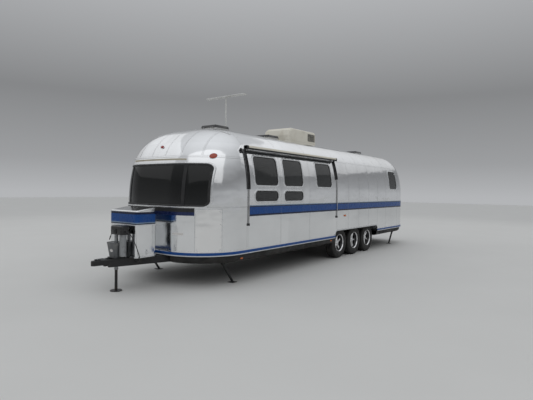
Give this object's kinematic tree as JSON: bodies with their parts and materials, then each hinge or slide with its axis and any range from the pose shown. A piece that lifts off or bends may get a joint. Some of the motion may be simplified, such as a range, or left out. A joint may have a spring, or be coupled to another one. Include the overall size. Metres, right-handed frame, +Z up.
{
  "type": "travel caravan",
  "caption": "Long riveted aluminium travel caravan on three axles, parked on its tongue jack, with a wrap-round front window, side awnings, entry door, folding stabiliser legs and roof unit.",
  "frame": {"origin": "centre of the overall box on the ground", "axes": "+Z up, +Y towards the rear, +X to the street side"},
  "size_m": [2.5, 10.42, 3.4461],
  "materials": {
    "aluminium_skin": "polished",
    "aluminium_trim": "satin",
    "dark_glass": "gloss",
    "floor_ply": "matte",
    "galvanised_sheet": "satin",
    "black_steel": "satin",
    "blue_rail": "satin",
    "tyre_rubber": "matte",
    "cable_rubber": "matte",
    "rim_alloy": "polished",
    "roof_plastic": "matte",
    "vent_plastic": "satin",
    "lamp_plastic": "gloss",
    "gas_bottle_paint": "satin",
    "jack_paint": "satin",
    "awning_metal": "satin"
  },
  "bodies": {
    "caravan": {"front_cap": "aluminium_skin", "rear_cap": "aluminium_skin", "street_wall": "aluminium_skin", "curb_wall": "aluminium_skin", "roof": "aluminium_skin", "floor": "floor_ply", "wheel_boxes": "galvanised_sheet", "belly_pan": "black_steel", "frame_rails": "black_steel", "cross_members": "black_steel", "bottle_tray": "black_steel", "coupler": "black_steel", "jack_housing": "jack_paint", "jack_cable": "cable_rubber", "gas_bottles": "gas_bottle_paint", "bottle_cover": "aluminium_skin", "front_glass": "dark_glass", "rear_glass": "dark_glass", "side_glass": "dark_glass", "window_frames": "aluminium_trim", "stone_guards": "aluminium_skin", "rub_rail": "blue_rail", "rear_bumper": "black_steel", "tail_lamps": "lamp_plastic", "axles": "black_steel", "belly_brackets": "black_steel", "air_conditioner": "roof_plastic", "roof_fittings": "aluminium_trim", "street_awning": "awning_metal", "curb_awning": "awning_metal"},
    "entry_door": {"entry_door": "aluminium_skin", "entry_door_glass": "dark_glass"},
    "rear_locker_door": {"rear_locker_door": "aluminium_skin"},
    "slide_step": {"slide_step": "black_steel"},
    "jack_leg": {"jack_leg": "galvanised_sheet"},
    "antenna": {"antenna": "aluminium_trim"},
    "wheel_street_1": {"tyre_street_1": "tyre_rubber", "rim_street_1": "rim_alloy"},
    "wheel_street_2": {"tyre_street_2": "tyre_rubber", "rim_street_2": "rim_alloy"},
    "wheel_street_3": {"tyre_street_3": "tyre_rubber", "rim_street_3": "rim_alloy"},
    "wheel_curb_1": {"tyre_curb_1": "tyre_rubber", "rim_curb_1": "rim_alloy"},
    "wheel_curb_2": {"tyre_curb_2": "tyre_rubber", "rim_curb_2": "rim_alloy"},
    "wheel_curb_3": {"tyre_curb_3": "tyre_rubber", "rim_curb_3": "rim_alloy"},
    "stabiliser_street_front": {"stabiliser_street_front": "galvanised_sheet"},
    "stabiliser_curb_front": {"stabiliser_curb_front": "galvanised_sheet"},
    "stabiliser_street_rear": {"stabiliser_street_rear": "galvanised_sheet"},
    "stabiliser_curb_rear": {"stabiliser_curb_rear": "galvanised_sheet"},
    "vent_lid_front": {"vent_lid_front": "vent_plastic"},
    "vent_lid_middle": {"vent_lid_middle": "vent_plastic"},
    "vent_lid_rear": {"vent_lid_rear": "vent_plastic"}
  },
  "joints": [
    {"name": "wheel_street_1_spin", "type": "hinge", "parent": "caravan", "child": "wheel_street_1", "pos_m": [1.01, 0.553, 0.36], "axis": [1, 0, 0], "continuous": true},
    {"name": "wheel_street_2_spin", "type": "hinge", "parent": "caravan", "child": "wheel_street_2", "pos_m": [1.01, 1.361, 0.36], "axis": [1, 0, 0], "continuous": true},
    {"name": "wheel_street_3_spin", "type": "hinge", "parent": "caravan", "child": "wheel_street_3", "pos_m": [1.01, 2.169, 0.36], "axis": [1, 0, 0], "continuous": true},
    {"name": "wheel_curb_1_spin", "type": "hinge", "parent": "caravan", "child": "wheel_curb_1", "pos_m": [-1.01, 0.553, 0.36], "axis": [1, 0, 0], "continuous": true},
    {"name": "wheel_curb_2_spin", "type": "hinge", "parent": "caravan", "child": "wheel_curb_2", "pos_m": [-1.01, 1.361, 0.36], "axis": [1, 0, 0], "continuous": true},
    {"name": "wheel_curb_3_spin", "type": "hinge", "parent": "caravan", "child": "wheel_curb_3", "pos_m": [-1.01, 2.169, 0.36], "axis": [1, 0, 0], "continuous": true},
    {"name": "jack_slide", "type": "slide", "parent": "caravan", "child": "jack_leg", "axis": [0, 0, 1], "range_m": [-0.1, 0.3]},
    {"name": "entry_door_hinge", "type": "hinge", "parent": "caravan", "child": "entry_door", "pos_m": [-1.231, -1.054, 1.1], "axis": [0, 0, 1], "range_deg": [0, 110]},
    {"name": "step_slide", "type": "slide", "parent": "caravan", "child": "slide_step", "axis": [-1, 0, 0], "range_m": [0, 0.27]},
    {"name": "rear_locker_hinge", "type": "hinge", "parent": "caravan", "child": "rear_locker_door", "pos_m": [0, 5.15, 1.065], "axis": [1, 0, 0], "range_deg": [0, 100]},
    {"name": "stabiliser_street_front_hinge", "type": "hinge", "parent": "caravan", "child": "stabiliser_street_front", "pos_m": [0.96, -3.41, 0.352], "axis": [1, 0, 0], "range_deg": [0, 46]},
    {"name": "stabiliser_curb_front_hinge", "type": "hinge", "parent": "caravan", "child": "stabiliser_curb_front", "pos_m": [-0.96, -3.41, 0.352], "axis": [1, 0, 0], "range_deg": [0, 46]},
    {"name": "stabiliser_street_rear_hinge", "type": "hinge", "parent": "caravan", "child": "stabiliser_street_rear", "pos_m": [0.96, 4.44, 0.352], "axis": [-1, 0, 0], "range_deg": [0, 46]},
    {"name": "stabiliser_curb_rear_hinge", "type": "hinge", "parent": "caravan", "child": "stabiliser_curb_rear", "pos_m": [-0.96, 4.44, 0.352], "axis": [-1, 0, 0], "range_deg": [0, 46]},
    {"name": "vent_front_hinge", "type": "hinge", "parent": "caravan", "child": "vent_lid_front", "pos_m": [0, -2.825, 2.76311], "axis": [1, 0, 0], "range_deg": [0, 60]},
    {"name": "vent_middle_hinge", "type": "hinge", "parent": "caravan", "child": "vent_lid_middle", "pos_m": [0, -1.135, 2.76311], "axis": [1, 0, 0], "range_deg": [0, 60]},
    {"name": "vent_rear_hinge", "type": "hinge", "parent": "caravan", "child": "vent_lid_rear", "pos_m": [0, 3.345, 2.76311], "axis": [1, 0, 0], "range_deg": [0, 60]},
    {"name": "antenna_fold", "type": "hinge", "parent": "caravan", "child": "antenna", "pos_m": [0, -2.31, 2.79011], "axis": [-1, 0, 0], "range_deg": [0, 88]}
  ]
}
